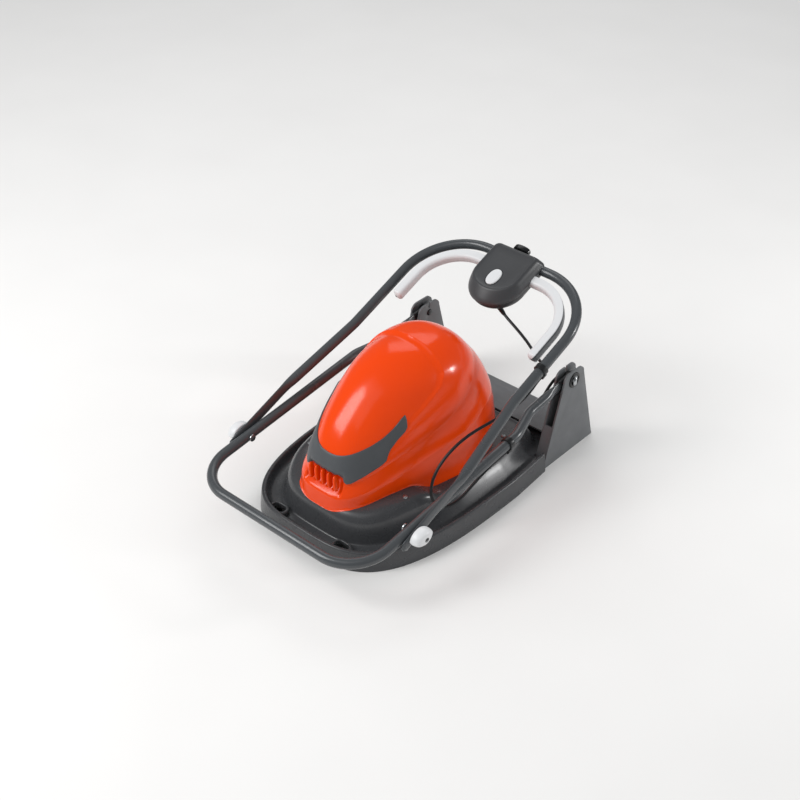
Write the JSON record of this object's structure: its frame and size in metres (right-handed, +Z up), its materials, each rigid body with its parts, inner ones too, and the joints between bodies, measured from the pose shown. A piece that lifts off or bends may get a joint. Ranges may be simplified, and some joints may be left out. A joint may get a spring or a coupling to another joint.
{
  "type": "hover mower",
  "caption": "Electric hover mower folded for storage: moulded deck and motor hood, hinged two-part tubular handle, switch box with paired levers, motor, impeller and cutting blade.",
  "frame": {"origin": "on the ground, midway across the width and midway between the lower handle's cross bar and the mains inlet", "axes": "+Z up, +X to the mower's right as seen from behind it, -Y to the front of the deck"},
  "size_m": [0.5392, 0.7958, 0.4001],
  "materials": {
    "deck_plastic": "moulded, satin",
    "panel_plastic": "moulded, fine grain",
    "hood_plastic": "gloss",
    "trim_plastic": "moulded, fine grain",
    "tube_paint": "satin paint",
    "white_plastic": "satin",
    "core_plastic": "satin",
    "black_rubber": "matt",
    "black_plastic": "satin",
    "bright_steel": "zinc plated",
    "motor_steel": "plain",
    "motor_alloy": "cast",
    "copper": "enamelled wire",
    "blade_steel": "ground",
    "fan_plastic": "moulded",
    "spacer_plastic": "moulded"
  },
  "bodies": {
    "base": {"deck": "deck_plastic", "rear_panel": "panel_plastic", "left_bracket": "panel_plastic", "right_bracket": "panel_plastic", "pivot_bolts": "bright_steel", "motor_plate": "motor_alloy", "plate_screws": "bright_steel", "motor_can": "motor_alloy", "stator_core": "motor_steel", "field_coils": "copper", "brush_holders": "copper", "lower_bearing": "bright_steel", "upper_bearing": "bright_steel", "motor_hood": "hood_plastic", "hood_trim": "trim_plastic", "deck_screws": "bright_steel", "panel_screws": "bright_steel", "lead_gland": "black_rubber", "lead_tail": "black_rubber"},
    "rotor": {"armature": "motor_steel", "impeller": "fan_plastic", "blade_spacer": "spacer_plastic", "cutting_blade": "blade_steel", "blade_washer": "bright_steel", "blade_bolt": "bright_steel"},
    "lower_handle": {"lower_handle": "tube_paint", "pivot_washers": "black_plastic", "clamp_bolts": "bright_steel", "lower_clip": "black_plastic", "lead_lower": "black_rubber", "lead_loop": "black_rubber"},
    "upper_handle": {"upper_handle": "tube_paint", "switch_box_base": "trim_plastic", "switch_box_top": "trim_plastic", "box_screws": "bright_steel", "micro_switch": "black_plastic", "button_spring": "bright_steel", "lever_pins": "bright_steel", "lever_springs": "bright_steel", "mains_inlet": "black_plastic", "upper_clip": "black_plastic", "lead_upper": "black_rubber"},
    "left_knob": {"left_knob": "white_plastic"},
    "right_knob": {"right_knob": "white_plastic"},
    "left_lever": {"left_lever": "white_plastic", "left_lever_core": "core_plastic"},
    "right_lever": {"right_lever": "white_plastic", "right_lever_core": "core_plastic"},
    "lock_button": {"lock_button": "white_plastic"}
  },
  "joints": [
    {"name": "rotor_spin", "type": "hinge", "parent": "base", "child": "rotor", "pos_m": [0, 0.03529, 0.1], "axis": [0, 0, 1], "continuous": true},
    {"name": "lower_fold", "type": "hinge", "parent": "base", "child": "lower_handle", "pos_m": [0, 0.30529, 0.191], "axis": [-1, 0, 0], "range_deg": [0, 140], "deforming": ["lead_tail", "lead_loop"]},
    {"name": "upper_fold", "type": "hinge", "parent": "lower_handle", "child": "upper_handle", "pos_m": [0, -0.23466, 0.1247], "axis": [1, 0, 0], "range_deg": [0, 165.5], "deforming": ["lead_loop"]},
    {"name": "left_knob_turn", "type": "hinge", "parent": "lower_handle", "child": "left_knob", "pos_m": [-0.257, -0.23466, 0.1247], "axis": [1, 0, 0], "range_deg": [0, 360]},
    {"name": "right_knob_turn", "type": "hinge", "parent": "lower_handle", "child": "right_knob", "pos_m": [0.257, -0.23466, 0.1247], "axis": [1, 0, 0], "range_deg": [0, 360]},
    {"name": "left_lever_squeeze", "type": "hinge", "parent": "upper_handle", "child": "left_lever", "pos_m": [-0.04, 0.34732, 0.35395], "axis": [0, 0.3665, -0.9304], "range_deg": [0, 4], "stiffness_Nm_per_rad": 3, "springref_deg": -5.73, "deforming": ["lever_springs"]},
    {"name": "right_lever_squeeze", "type": "hinge", "parent": "upper_handle", "child": "right_lever", "pos_m": [0.04, 0.34732, 0.35395], "axis": [0, -0.3665, 0.9304], "range_deg": [0, 4], "stiffness_Nm_per_rad": 3, "springref_deg": -5.73, "deforming": ["lever_springs"]},
    {"name": "button_press", "type": "slide", "parent": "upper_handle", "child": "lock_button", "axis": [0, 0.3665, -0.9304], "range_m": [0, 0.003], "stiffness_N_per_m": 400, "springref_m": -0.003, "deforming": ["button_spring"]}
  ],
  "couplings": [
    {"joint": "upper_fold", "follows": "lower_fold", "ratio": 1.1821}
  ]
}
